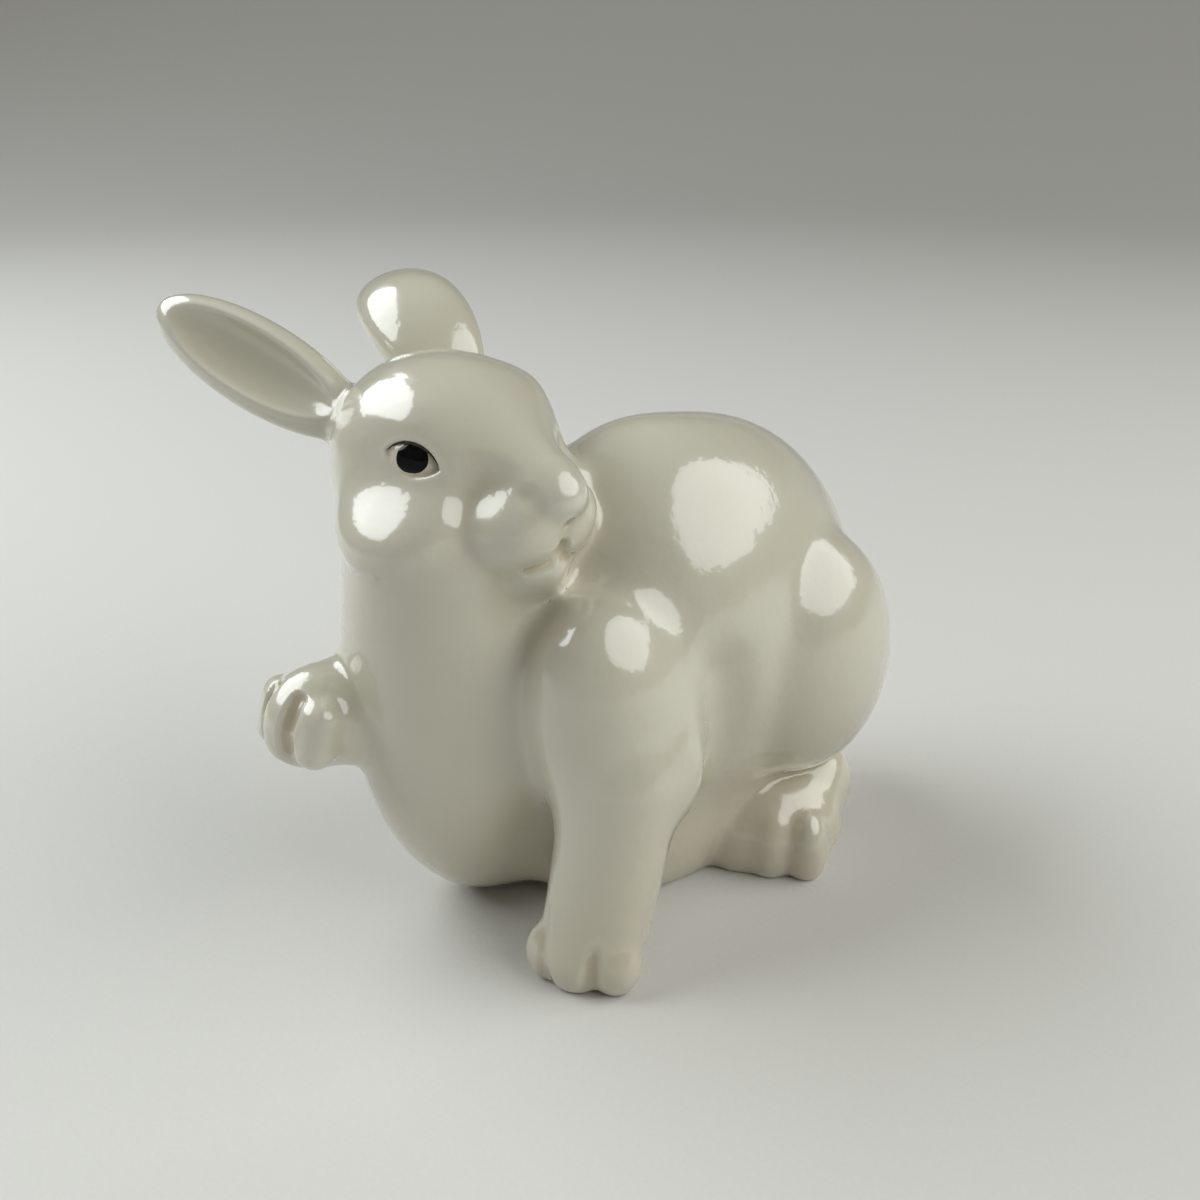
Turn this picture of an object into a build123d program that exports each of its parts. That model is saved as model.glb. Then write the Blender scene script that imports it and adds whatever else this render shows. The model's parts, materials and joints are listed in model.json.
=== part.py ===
from build123d import *
import os

os.makedirs("parts", exist_ok=True)

# A glazed ceramic rabbit that sits up with one forepaw raised and looks over its left side.
# Millimetres. Z is up, the rabbit faces -Y, its left side is +X, and the body's plane of
# symmetry is X = 0. The origin is the middle of the flat base that it rests on.
# The torso and the head are hollow castings. The ears, legs, feet and tail are solid castings,
# trimmed to the curve of what carries them and stuck on with slip before firing. The pupils
# and the lid lines are enamel on the eyeballs.
# Sizes come first. A table of shares gives places and sizes as parts of the sizes beside it.

# Clay and enamel
wall = 3.5
enamel_thickness = 0.3
base_vent_diameter = 6.0
base_vent_back = 15.0
neck_vent_diameter = 8.0
overrun = 6.0
half_turn = 180

# Rump, loin, belly and breast, the lumps of the trunk: length, width, height, then their places
rump_length = 73.0
rump_width = 53.0
rump_height = 88.0
rump_tilt = 16.0
rump_back = 11.0
rump_rise = 51.0
loin_length = 58.0
loin_width = 57.0
loin_height = 79.0
loin_reach = 14.0
loin_rise = 53.0
belly_length = 74.0
belly_width = 40.0
belly_height = 41.0
belly_rise = 12.0
trunk_lean = 2.0
breast_length = 59.0
breast_width = 48.0
breast_height = 91.0
breast_lean = 16.0
breast_reach = 36.0
breast_rise = 45.0

# Neck, upwards: height, width
neck_width = 40.0
neck_lean = 17.0
neck_reach = 43.5
neck_rise = 82.0
neck_shares = (
    (0.58, 0.80),
    (0.70, 0.90),
    (0.85, 0.96),
    (1.00, 1.00),
    (1.12, 0.88),
    (1.19, 0.60),
)

# Neck joint, a flat cut from the nape down to the front of the breast
neck_tilt = 34.0
nape_reach = 20.0
nape_rise = 92.6

# Haunches
haunch_length = 40.0
haunch_width = 33.0
haunch_height = 55.0
haunch_tilt = 4.0
haunch_spread = 18.5
haunch_back = 22.0
haunch_rise = 46.5

# Head, turned to the rabbit's left: length, width and height of the skull
skull_length = 44.0
skull_width = 41.0
skull_height = 38.0
head_yaw = 4.0
head_pitch = 3.0
head_lean = 17.8
head_reach = 42.8
head_rise = 95.2
brow_place_shares = (0.30, 0.42, 0.34)
brow_size_shares = (0.39, 0.39, 0.42)
cheek_place_shares = (0.25, 0.50, -0.68)
cheek_size_shares = (0.60, 0.74, 0.90)
pad_place_shares = (1.055, 0.235, -0.26)
pad_size_shares = (0.41, 0.43, 0.465)
nose_place_shares = (1.43, 0.00, 0.05)
nose_size_shares = (0.21, 0.23, 0.21)
chin_place_shares = (1.07, 0.00, -0.71)
chin_size_shares = (0.30, 0.30, 0.28)

# Muzzle, forwards: along, height, half width, half height
muzzle_shares = (
    (0.23, 0.00, 0.73, 0.79),
    (0.68, 0.03, 0.56, 0.60),
    (1.14, 0.06, 0.37, 0.40),
    (1.32, 0.06, 0.30, 0.32),
    (1.43, 0.06, 0.17, 0.18),
)

# Eyes, on the skull
eyeball_diameter = 22.0
eyeball_stand = 0.6
pupil_diameter = 5.8
lid_length = 9.6
lid_rise = 3.0
lid_line_width = 0.7
eye_shares = (0.475, 0.83, 0.29)

# Ears: length, width and thickness, then the place of the root and the way each ear points
ear_length = 47.0
ear_thickness = 13.0
right_ear_width = 17.0
left_ear_width = 20.0
ear_hollow_lift_share = 0.95
ear_hollow_shift_share = 0.04
ear_hollow_size_shares = (0.87, 0.72, 0.92)
right_ear_root_shares = (-0.55, -0.385, 0.14)
right_ear_point_shares = (-0.79, -0.43, 0.43)
right_ear_face_shares = (0.75, -0.60, 0.30)
left_ear_root_shares = (-0.26, 0.77, 0.31)
left_ear_point_shares = (-0.96, 0.13, 0.25)
left_ear_face_shares = (-0.20, 0.90, 0.10)

# Standing foreleg: shoulder and elbow, then the shank downwards: height, way to the foot, width
shoulder_width = 29.0
shoulder_depth = 33.0
shoulder_height = 53.0
shoulder_tilt = 14.0
shoulder_spread = 15.0
shoulder_reach = 31.3
shoulder_rise = 48.0
elbow_width = 17.0
elbow_depth = 15.0
elbow_height = 25.0
elbow_spread = 22.9
elbow_reach = 26.3
elbow_rise = 40.0
knee_spread = 19.9
knee_reach = 34.1
knee_rise = 36.0
forefoot_spread = 22.0
forefoot_reach = 41.5
shank_width = 26.0
shank_shares = (
    (1.30, -0.25, 0.60),
    (1.00, 0.00, 1.00),
    (0.62, 0.48, 0.94),
    (0.25, 1.00, 0.84),
    (0.08, 1.00, 0.74),
    (0.00, 1.00, 0.60),
)
foretoe_width = 12.0
foretoe_height = 14.0
foretoe_spacing = 6.2
foretoe_reach = 4.0
foretoe_turn = 30.0
foretoe_rise_share = 0.36

# Raised foreleg, forwards: along, half width
raised_leg_length = 42.0
raised_leg_width = 24.0
raised_leg_height = 46.0
raised_leg_root = 34.0
raised_leg_spread = 24.0
raised_leg_shares = (
    (0.00, 1.00),
    (0.38, 0.91),
    (0.67, 0.83),
    (0.81, 0.73),
    (0.93, 0.52),
    (0.99, 0.20),
)
paw_toe_length = 9.0
paw_toe_width = 8.4
paw_toe_height = 15.5
paw_toe_spacing = 5.4
paw_toe_lift = 1.0

# Hind feet, turned outwards: instep and heel, then the toes
instep_length = 25.0
instep_width = 34.0
instep_height = 28.0
instep_back = 2.0
instep_inset = 3.0
instep_rise = 7.0
heel_length = 22.0
heel_width = 20.0
heel_height = 22.0
heel_back = 12.0
heel_outset = 10.0
heel_rise = 11.0
hind_foot_turn = 38.5
hind_foot_spread = 19.5
hind_foot_back = 13.2
hind_toe_length = 10.4
hind_toe_width = 9.6
hind_toe_height = 18.0
hind_toe_spacing = 8.0
hind_toe_reach = 7.0
hind_toe_rise = 6.0
toe_drop_share = 0.12

# Tail
tail_width = 18.0
tail_height = 22.0
tail_rise = 24.0
tail_back = 46.0


def egg(place, size):
    """Return an ellipsoid of the given length, width and height in the axes of a plane, in two halves."""
    with BuildPart() as half:
        Sphere(1, arc_size3=half_turn, align=Align.NONE)
        scale(by=tuple(side / 2 for side in size), about=(0, 0, 0))
    with BuildPart() as form:
        add(half.part)
        add(half.part, rotation=(0, 0, half_turn))
    return place.location * form.part


def lofted(stations):
    """Return a solid lofted through ellipses, each a plane, a half width and a half height."""
    with BuildPart() as form:
        for plane, half_width, half_height in stations:
            with BuildSketch(plane):
                Ellipse(half_width, half_height)
        loft()
    return form.part


def moved(place, along, across, up):
    """Return a plane moved by distances along its own axes."""
    spot = place.from_local_coords(Vector(along, across, up))
    return Plane(origin=spot, x_dir=place.x_dir, z_dir=place.z_dir)


def body_egg(spot, size, tilt, inset):
    """Return one lump of the body, tilted forwards and drawn in by an inset."""
    upright = Vector(0, 0, 1).rotate(Axis.X, tilt)
    place = Plane(origin=spot, x_dir=(1, 0, 0), z_dir=upright)
    return egg(place, [side - 2 * inset for side in size])


def trunk_forms(inset):
    """Return the rump, the loin, the belly and both haunches, drawn in by an inset."""
    rump_spot = (0, rump_back, rump_rise)
    loin_spot = (-trunk_lean, -loin_reach, loin_rise)
    belly_spot = (-trunk_lean, 0, belly_rise)
    forms = [
        body_egg(rump_spot, (rump_width, rump_length, rump_height), rump_tilt, inset),
        body_egg(loin_spot, (loin_width, loin_length, loin_height), 0, inset),
        body_egg(belly_spot, (belly_width, belly_length, belly_height), 0, inset),
    ]
    for side in (1, -1):
        spot = (side * haunch_spread, haunch_back, haunch_rise)
        forms.append(body_egg(spot, (haunch_width, haunch_length, haunch_height), haunch_tilt, inset))
    return forms


def breast_forms(inset):
    """Return the breast and the neck, drawn in by an inset."""
    spot = (-breast_lean, -breast_reach, breast_rise)
    breast = body_egg(spot, (breast_width, breast_length, breast_height), 0, inset)
    stations = []
    for height, width in neck_shares:
        plane = Plane(origin=(-neck_lean, -neck_reach, height * neck_rise))
        radius = width * neck_width / 2 - inset
        stations.append((plane, radius, radius))
    return [breast, lofted(stations)]


def on_skull(shares, side=1):
    """Return the skull's plane moved by shares of the skull's half sizes."""
    along, across, up = shares
    return moved(
        skull_plane,
        along * skull_length / 2,
        side * across * skull_width / 2,
        up * skull_height / 2,
    )


def skull_egg(place_shares, size_shares, side=1):
    """Return an ellipsoid on the head, placed and sized by shares of the skull."""
    long, wide, high = size_shares
    size = (long * skull_length, wide * skull_width, high * skull_height)
    return egg(on_skull(place_shares, side), size)


def muzzle_form():
    """Return the muzzle, lofted forwards from inside the skull."""
    stations = []
    for along, up, wide, high in muzzle_shares:
        centre = on_skull((along, 0, up))
        plane = Plane(origin=centre.origin, x_dir=skull_plane.y_dir, z_dir=skull_plane.x_dir)
        stations.append((plane, wide * skull_width / 2, high * skull_height / 2))
    return lofted(stations)


def eye_plane(side):
    """Return the plane that touches the skull at one eye, with its X axis towards the nose."""
    along, across, up = eye_shares
    spot = on_skull(eye_shares, side).origin
    outward = (
        skull_plane.x_dir * (along / skull_length)
        + skull_plane.y_dir * (side * across / skull_width)
        + skull_plane.z_dir * (up / skull_height)
    )
    across_eye = skull_plane.z_dir.cross(outward) * side
    return Plane(origin=spot, x_dir=across_eye * -1, z_dir=outward)


def eyeball_form(side, thickness):
    """Return one eyeball, grown by the thickness of what lies on it."""
    plane = eye_plane(side)
    radius = eyeball_diameter / 2
    size = eyeball_diameter + 2 * thickness
    return egg(moved(plane, 0, 0, eyeball_stand - radius), (size, size, size))


def ear_form(root_shares, point_shares, face_shares, width):
    """Return a leaf-shaped ear with its hollow on the side that it faces."""
    point = Vector(*point_shares).normalized()
    face = Vector(*face_shares)
    square = point.cross(face.cross(point))
    root = on_skull(root_shares).origin
    middle = Plane(origin=root + point * (ear_length / 2), x_dir=point, z_dir=square)
    long_share, wide_share, thick_share = ear_hollow_size_shares
    lift = ear_hollow_lift_share * ear_thickness / 2
    leaf = egg(middle, (ear_length, width, ear_thickness))
    hollow = egg(
        moved(middle, ear_hollow_shift_share * ear_length, 0, lift),
        (long_share * ear_length, wide_share * width, thick_share * ear_thickness),
    )
    with BuildPart() as form:
        add(leaf)
        add(hollow, mode=Mode.SUBTRACT)
    return form.part


def foreleg_forms():
    """Return the shoulder, the elbow and the shank of the standing foreleg."""
    shoulder_spot = (shoulder_spread, -shoulder_reach, shoulder_rise)
    elbow_spot = (elbow_spread, -elbow_reach, elbow_rise)
    stations = []
    for height, along, wide in shank_shares:
        spread = knee_spread + along * (forefoot_spread - knee_spread)
        reach = knee_reach + along * (forefoot_reach - knee_reach)
        plane = Plane(origin=(spread, -reach, height * knee_rise))
        stations.append((plane, wide * shank_width / 2, wide * shank_width / 2))
    return [
        body_egg(shoulder_spot, (shoulder_width, shoulder_depth, shoulder_height), shoulder_tilt, 0),
        body_egg(elbow_spot, (elbow_width, elbow_depth, elbow_height), 0, 0),
        lofted(stations),
    ]


def raised_leg_form():
    """Return the raised foreleg, from inside the breast to the paw."""
    stations = []
    for along, thick in raised_leg_shares:
        reach = raised_leg_root + along * raised_leg_length
        plane = Plane(origin=(-raised_leg_spread, -reach, raised_leg_height), z_dir=(0, -1, 0))
        stations.append((plane, thick * raised_leg_width / 2, thick * raised_leg_width / 2))
    return lofted(stations)


def toes(place, reach, spacing, rise, size):
    """Return three toes, the middle one foremost, in the axes of a foot's plane."""
    length, _, _ = size
    return [
        egg(moved(place, reach - abs(step) * toe_drop_share * length, step * spacing, rise), size)
        for step in (-1, 0, 1)
    ]


def hind_foot_form(side):
    """Return one hind foot above the ground, with its toes turned outwards."""
    forward = Vector(0, -1, 0).rotate(Axis.Z, side * hind_foot_turn)
    place = Plane(origin=(side * hind_foot_spread, hind_foot_back, 0), x_dir=forward, z_dir=(0, 0, 1))
    instep_plane = moved(place, -instep_back, -side * instep_inset, instep_rise)
    heel_plane = moved(place, -heel_back, side * heel_outset, heel_rise)
    instep = egg(instep_plane, (instep_length, instep_width, instep_height))
    heel = egg(heel_plane, (heel_length, heel_width, heel_height))
    toe_size = (hind_toe_length, hind_toe_width, hind_toe_height)
    hind_toes = toes(place, hind_toe_reach, hind_toe_spacing, hind_toe_rise, toe_size)
    with BuildPart() as form:
        add(instep)
        add(heel)
        add(hind_toes)
        split(bisect_by=Plane.XY, keep=Keep.TOP)
    return form.part


# Planes that the castings share
neck_up = Vector(0, 0, 1).rotate(Axis.X, neck_tilt)
neck_spot = (-neck_lean, -nape_reach, nape_rise)
neck_plane = Plane(origin=neck_spot, x_dir=(1, 0, 0), z_dir=neck_up)

skull_spot = (-head_lean, -head_reach, head_rise)
head_forward = Vector(1, 0, 0).rotate(Axis.Y, head_pitch).rotate(Axis.Z, head_yaw)
head_up = Vector(0, 0, 1).rotate(Axis.Y, head_pitch).rotate(Axis.Z, head_yaw)
skull_plane = Plane(origin=skull_spot, x_dir=head_forward, z_dir=head_up)

under_skull = neck_plane.to_local_coords(skull_plane.origin)
neck_vent_plane = moved(neck_plane, under_skull.X, under_skull.Y, 0)
base_vent_plane = Plane(origin=(0, base_vent_back, 0))

# Torso
breast = breast_forms(0)
torso_lumps = trunk_forms(0) + breast
with BuildPart() as torso_form:
    add(torso_lumps)
    split(bisect_by=Plane.XY, keep=Keep.TOP)
    split(bisect_by=neck_plane, keep=Keep.BOTTOM)

torso_cores = trunk_forms(wall) + breast_forms(wall)
with BuildPart() as torso_cavity:
    add(torso_cores)
    split(bisect_by=Plane.XY.offset(wall), keep=Keep.TOP)
    split(bisect_by=neck_plane.offset(-wall), keep=Keep.BOTTOM)

with BuildPart() as torso:
    add(torso_form.part)
    add(torso_cavity.part, mode=Mode.SUBTRACT)
    with BuildSketch(base_vent_plane):
        Circle(base_vent_diameter / 2)
    extrude(amount=wall + overrun, mode=Mode.SUBTRACT)
    with BuildSketch(neck_vent_plane):
        Circle(neck_vent_diameter / 2)
    extrude(amount=-wall - overrun, mode=Mode.SUBTRACT)
torso.part.label = "torso"
export_step(torso.part, "parts/torso.step")

# Head
skull_size = (skull_length, skull_width, skull_height)
head_eggs = [egg(skull_plane, skull_size), muzzle_form()]
head_eggs.append(skull_egg(nose_place_shares, nose_size_shares))
head_eggs.append(skull_egg(chin_place_shares, chin_size_shares))
for side in (1, -1):
    head_eggs.append(skull_egg(brow_place_shares, brow_size_shares, side))
    head_eggs.append(skull_egg(cheek_place_shares, cheek_size_shares, side))
    head_eggs.append(skull_egg(pad_place_shares, pad_size_shares, side))
    head_eggs.append(eyeball_form(side, 0))
with BuildPart() as head_form:
    add(breast)
    add(head_eggs)
    split(bisect_by=neck_plane, keep=Keep.TOP)

skull_core = egg(skull_plane, [size - 2 * wall for size in skull_size])
with BuildPart() as head_cavity:
    add(skull_core)
    split(bisect_by=neck_plane.offset(wall), keep=Keep.TOP)

with BuildPart() as head:
    add(head_form.part)
    add(head_cavity.part, mode=Mode.SUBTRACT)
    with BuildSketch(neck_vent_plane):
        Circle(neck_vent_diameter / 2)
    extrude(amount=wall + overrun, mode=Mode.SUBTRACT)
head.part.label = "head"
export_step(head.part, "parts/head.step")

# Enamel on the eyeballs
for side, name in ((1, "left"), (-1, "right")):
    glaze = eyeball_form(side, enamel_thickness)
    seat = moved(eye_plane(side), 0, 0, -lid_length)
    half_lid = lid_length / 2
    with BuildPart() as pupil:
        with BuildSketch(seat):
            Circle(pupil_diameter / 2)
        extrude(amount=2 * lid_length)
        add(glaze, mode=Mode.INTERSECT)
        add(head_form.part, mode=Mode.SUBTRACT)
    pupil.part.label = f"{name}_pupil"
    export_step(pupil.part, f"parts/{name}_pupil.step")

    with BuildPart() as lid_line:
        with BuildSketch(seat):
            with BuildLine():
                ThreePointArc((-half_lid, 0), (0, lid_rise), (half_lid, 0))
                ThreePointArc((half_lid, 0), (0, lid_rise + lid_line_width), (-half_lid, 0))
            make_face()
        extrude(amount=2 * lid_length)
        add(glaze, mode=Mode.INTERSECT)
        add(head_form.part, mode=Mode.SUBTRACT)
    lid_line.part.label = f"{name}_lid_line"
    export_step(lid_line.part, f"parts/{name}_lid_line.step")

# Ears
right_leaf = ear_form(right_ear_root_shares, right_ear_point_shares, right_ear_face_shares, right_ear_width)
with BuildPart() as right_ear:
    add(right_leaf)
    add(head_form.part, mode=Mode.SUBTRACT)
right_ear.part.label = "right_ear"
export_step(right_ear.part, "parts/right_ear.step")

left_leaf = ear_form(left_ear_root_shares, left_ear_point_shares, left_ear_face_shares, left_ear_width)
with BuildPart() as left_ear:
    add(left_leaf)
    add(head_form.part, mode=Mode.SUBTRACT)
left_ear.part.label = "left_ear"
export_step(left_ear.part, "parts/left_ear.step")

# Standing left foreleg
standing_leg = foreleg_forms()
toe_forward = Vector(0, -1, 0).rotate(Axis.Z, foretoe_turn)
forefoot_plane = Plane(origin=(forefoot_spread, -forefoot_reach, 0), x_dir=toe_forward, z_dir=(0, 0, 1))
foretoe_size = (foretoe_width, foretoe_width, foretoe_height)
foretoe_rise = foretoe_rise_share * foretoe_height
foretoes = toes(forefoot_plane, foretoe_reach, foretoe_spacing, foretoe_rise, foretoe_size)
with BuildPart() as left_foreleg:
    add(standing_leg)
    add(foretoes)
    split(bisect_by=Plane.XY, keep=Keep.TOP)
    add(torso_form.part, mode=Mode.SUBTRACT)
left_foreleg.part.label = "left_foreleg"
export_step(left_foreleg.part, "parts/left_foreleg.step")

# Raised right foreleg
raised_leg = raised_leg_form()
paw_spot = (-raised_leg_spread, -raised_leg_root - raised_leg_length, raised_leg_height)
paw_plane = Plane(origin=paw_spot, x_dir=(0, -1, 0), z_dir=(0, 0, 1))
paw_toes = toes(paw_plane, 0, paw_toe_spacing, paw_toe_lift, (paw_toe_length, paw_toe_width, paw_toe_height))
with BuildPart() as right_foreleg:
    add(raised_leg)
    add(paw_toes)
    add(torso_form.part, mode=Mode.SUBTRACT)
right_foreleg.part.label = "right_foreleg"
export_step(right_foreleg.part, "parts/right_foreleg.step")

# Hind feet
for side, name in ((1, "left_hind_foot"), (-1, "right_hind_foot")):
    foot = hind_foot_form(side)
    with BuildPart() as hind_foot:
        add(foot)
        add(torso_form.part, mode=Mode.SUBTRACT)
    hind_foot.part.label = name
    export_step(hind_foot.part, f"parts/{name}.step")

# Tail
tail_spot = (0, tail_back, tail_rise)
tail_plane = Plane(origin=tail_spot, x_dir=(0, 1, 0), z_dir=(0, 0, 1))
tail_egg = egg(tail_plane, (tail_width, tail_width, tail_height))
with BuildPart() as tail:
    add(tail_egg)
    add(torso_form.part, mode=Mode.SUBTRACT)
tail.part.label = "tail"
export_step(tail.part, "parts/tail.step")
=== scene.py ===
"""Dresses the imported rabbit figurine: white glazed castings with enamelled eyes, on a pale studio floor.

Each casting is a group of clay lumps that run softly into each other. The lumps are distance fields in
millimetres, and their places come from the boxes of the CAD nodes. One skin is laid over all of them, and
each casting keeps the share of it that belongs to its own node.
"""
import json
import logging
import math
from dataclasses import dataclass
from enum import Enum
from typing import Any, Callable, Sequence, Union

import bpy
import numpy as np
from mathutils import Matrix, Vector


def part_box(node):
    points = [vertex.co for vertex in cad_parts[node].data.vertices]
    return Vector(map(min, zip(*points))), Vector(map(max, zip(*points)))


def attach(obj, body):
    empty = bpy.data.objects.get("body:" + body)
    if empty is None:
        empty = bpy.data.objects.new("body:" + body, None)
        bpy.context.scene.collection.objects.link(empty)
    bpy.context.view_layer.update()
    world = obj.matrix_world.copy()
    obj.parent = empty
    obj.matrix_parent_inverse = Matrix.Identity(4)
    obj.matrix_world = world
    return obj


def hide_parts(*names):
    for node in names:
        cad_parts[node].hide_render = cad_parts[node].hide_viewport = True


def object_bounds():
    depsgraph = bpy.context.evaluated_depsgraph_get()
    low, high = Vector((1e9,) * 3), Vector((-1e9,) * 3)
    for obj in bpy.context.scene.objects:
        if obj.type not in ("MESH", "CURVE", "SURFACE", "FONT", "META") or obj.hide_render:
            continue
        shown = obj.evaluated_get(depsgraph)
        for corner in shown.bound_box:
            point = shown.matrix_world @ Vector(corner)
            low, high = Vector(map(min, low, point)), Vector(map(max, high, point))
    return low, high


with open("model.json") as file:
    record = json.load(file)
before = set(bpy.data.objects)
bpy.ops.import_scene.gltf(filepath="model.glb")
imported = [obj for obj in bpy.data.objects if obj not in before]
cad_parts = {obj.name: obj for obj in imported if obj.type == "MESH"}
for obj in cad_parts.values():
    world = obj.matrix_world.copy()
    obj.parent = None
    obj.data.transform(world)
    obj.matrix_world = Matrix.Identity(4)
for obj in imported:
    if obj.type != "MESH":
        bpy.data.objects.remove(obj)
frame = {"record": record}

CAD_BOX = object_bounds()
BODY = "root"
MM = 0.001
LOG = logging.getLogger("rabbit")

Array = np.ndarray
Triple = tuple[float, float, float]
Colour = tuple[float, float, float, float]


class Side(Enum):
    """The rabbit's left, at +Y of its head and +X of its body, and its right."""

    LEFT = 1
    RIGHT = -1


def unit(vector: Sequence[float]) -> Array:
    """Return a vector of length one."""
    array = np.asarray(vector, float)
    return array / np.linalg.norm(array)


def turned(yaw: float, pitch: float, roll: float) -> Array:
    """Return the axes of something turned about Z, then Y, then X.

    Args:
        yaw: turn about Z, in degrees.
        pitch: turn about Y, in degrees.
        roll: turn about X, in degrees.

    Returns:
        A matrix whose columns are the turned axes.
    """
    a, b, c = np.radians((yaw, pitch, roll))
    about_z = np.array([[np.cos(a), -np.sin(a), 0], [np.sin(a), np.cos(a), 0], [0, 0, 1]])
    about_y = np.array([[np.cos(b), 0, np.sin(b)], [0, 1, 0], [-np.sin(b), 0, np.cos(b)]])
    about_x = np.array([[1, 0, 0], [0, np.cos(c), -np.sin(c)], [0, np.sin(c), np.cos(c)]])
    return about_z @ about_y @ about_x


def joined(first: Array, second: Array, soft: float) -> Array:
    """Return the distance to two forms that run together over a soft width.

    Args:
        first: distances to one form.
        second: distances to the other form.
        soft: width over which they run together.

    Returns:
        Distances to the joined form.
    """
    overlap = np.maximum(soft - np.abs(first - second), 0.0) / soft
    return np.minimum(first, second) - overlap**3 * soft / 6.0


def carved(form: Array, tool: Array, soft: float) -> Array:
    """Return the distance to a form with a tool's shape taken out of it, over a soft edge.

    Args:
        form: distances to the form.
        tool: distances to the tool.
        soft: width of the softened edge.

    Returns:
        Distances to the carved form.
    """
    return -joined(-form, tool, soft)


@dataclass(frozen=True)
class Node:
    """The box of one CAD node, in millimetres."""

    name: str
    low: Array
    high: Array

    @classmethod
    def read(cls, name: str) -> "Node":
        """Return the box of a CAD node by name."""
        low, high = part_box(name)
        return cls(name, np.array(low) / MM, np.array(high) / MM)

    def at(self, x: float, y: float, z: float) -> Array:
        """Return a point of the box, from 0 at its low side to 1 at its high side on each axis."""
        return self.low + np.array((x, y, z)) * (self.high - self.low)

    def meets(self, other: "Node", margin: float) -> bool:
        """Return whether two boxes come within a margin of each other."""
        return bool(np.all(self.low - margin < other.high) and np.all(other.low < self.high + margin))


@dataclass(frozen=True)
class Egg:
    """A rounded lump of clay, placed in its casting's axes."""

    centre: Triple
    radii: Triple
    soft: float = 1.0
    turn: Triple = (0.0, 0.0, 0.0)

    def distance(self, points: Array) -> Array:
        """Return how far each point is from the lump, below zero inside it."""
        local = (points - np.array(self.centre)) @ turned(*self.turn)
        scaled = local / np.array(self.radii)
        reach = np.sqrt((scaled * scaled).sum(-1))
        scaled /= np.array(self.radii)
        slope = np.sqrt((scaled * scaled).sum(-1))
        return reach * (reach - 1.0) / np.maximum(slope, 1e-9)

    def mirrored(self) -> "Egg":
        """Return the same lump on the other side of the casting's middle plane."""
        (x, y, z), (yaw, pitch, roll) = self.centre, self.turn
        return Egg((x, -y, z), self.radii, self.soft, (-yaw, pitch, -roll))


    def across(self) -> "Egg":
        """Return the same lump on the other side of the figure's middle plane."""
        (x, y, z), (yaw, pitch, roll) = self.centre, self.turn
        return Egg((-x, y, z), self.radii, self.soft, (-yaw, -pitch, roll))


@dataclass(frozen=True)
class Bar:
    """A round bar of clay that tapers from one radius to another between two points."""

    start: Triple
    end: Triple
    radii: tuple[float, float]
    soft: float = 1.0

    def distance(self, points: Array) -> Array:
        """Return how far each point is from the bar, below zero inside it."""
        along = np.subtract(self.end, self.start)
        square = along @ along
        taper = self.radii[0] - self.radii[1]
        flank = square - taper * taper
        offset = points - np.array(self.start)
        y = offset @ along
        z = y - square
        sideways = offset * square - y[..., None] * along
        x2 = (sideways * sideways).sum(-1)
        y2 = y * y * square
        z2 = z * z * square
        limit = np.sign(taper) * taper * taper * x2
        side = (np.sqrt(x2 * flank / square) + y * taper) / square - self.radii[0]
        past_end = np.sign(z) * flank * z2 > limit
        before_start = np.sign(y) * flank * y2 < limit
        end_cap = np.sqrt(x2 + z2) / square - self.radii[1]
        start_cap = np.sqrt(x2 + y2) / square - self.radii[0]
        return np.where(past_end, end_cap, np.where(before_start, start_cap, side))

    def mirrored(self) -> "Bar":
        """Return the same bar on the other side of the casting's middle plane."""
        (ax, ay, az), (bx, by, bz) = self.start, self.end
        return Bar((ax, -ay, az), (bx, -by, bz), self.radii, self.soft)

    def across(self) -> "Bar":
        """Return the same bar on the other side of the figure's middle plane."""
        (ax, ay, az), (bx, by, bz) = self.start, self.end
        return Bar((-ax, ay, az), (-bx, by, bz), self.radii, self.soft)


@dataclass(frozen=True)
class Cluster:
    """Lumps that are run together first, then joined to the casting as one."""

    members: tuple["Lump", ...]
    soft: float = 1.0

    def distance(self, points: Array) -> Array:
        """Return how far each point is from the cluster, below zero inside it."""
        first, *others = self.members
        form = first.distance(points)
        for lump in others:
            form = joined(form, lump.distance(points), lump.soft)
        return form


Lump = Union[Egg, Bar, Cluster]


@dataclass(frozen=True)
class Crease:
    """A soft groove pressed into the skin along a line, or a soft ridge where its depth is below zero."""

    line: tuple[Triple, ...]
    depth: float
    width: float

    def pressed(self, form: Array, points: Array) -> Array:
        """Return a form with the groove in it.

        Args:
            form: distances to the form.
            points: the points that they were measured at.

        Returns:
            Distances to the form with its groove.
        """
        gap = np.full(form.shape, np.inf)
        for start, end in zip(self.line[:-1], self.line[1:]):
            along = np.subtract(end, start)
            offset = points - np.array(start)
            share = np.clip(offset @ along / (along @ along), 0.0, 1.0)
            gap = np.minimum(gap, np.sqrt(((offset - share[..., None] * along) ** 2).sum(-1)))
        near = np.clip(1.0 - (gap / self.width) ** 2, 0.0, 1.0)
        return form + self.depth * near * near

    def mirrored(self) -> "Crease":
        """Return the same groove on the other side of the casting's middle plane."""
        return Crease(tuple((x, -y, z) for x, y, z in self.line), self.depth, self.width)


def pair(lump: Any) -> list[Any]:
    """Return a lump or a groove and its mirror image."""
    return [lump, lump.mirrored()]


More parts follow.
